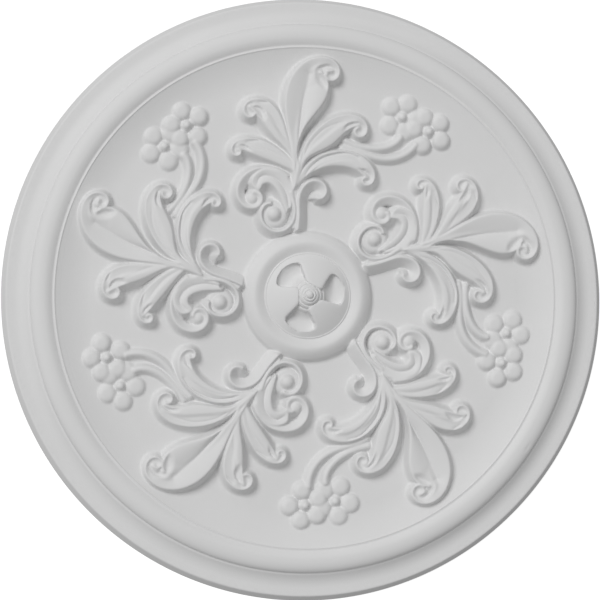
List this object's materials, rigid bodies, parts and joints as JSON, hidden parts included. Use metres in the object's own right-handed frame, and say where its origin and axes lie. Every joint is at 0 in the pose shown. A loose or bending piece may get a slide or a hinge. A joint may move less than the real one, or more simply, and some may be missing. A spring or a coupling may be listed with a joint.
{
  "type": "ceiling rose",
  "caption": "Round moulded ceiling rose: stepped rim, shallow coved field with curling leaf sprays and flowers, smooth ring and lobed centre boss, flat back.",
  "frame": {"origin": "centre of the flat back face, which is the face that is fixed to the ceiling", "axes": "+Z out of the back through the ornamented face, so on a ceiling +Z points down to the floor; +Y through the middle of one leaf spray, +X to its right seen from the front. The part is kept lying on its back, ornamented side up."},
  "size_m": [0.6, 0.6, 0.042],
  "materials": {
    "primed_casting": "matt white primer on a rigid moulded casting"
  },
  "bodies": {
    "root": {"ceiling_rose": "primed_casting"}
  },
  "joints": []
}
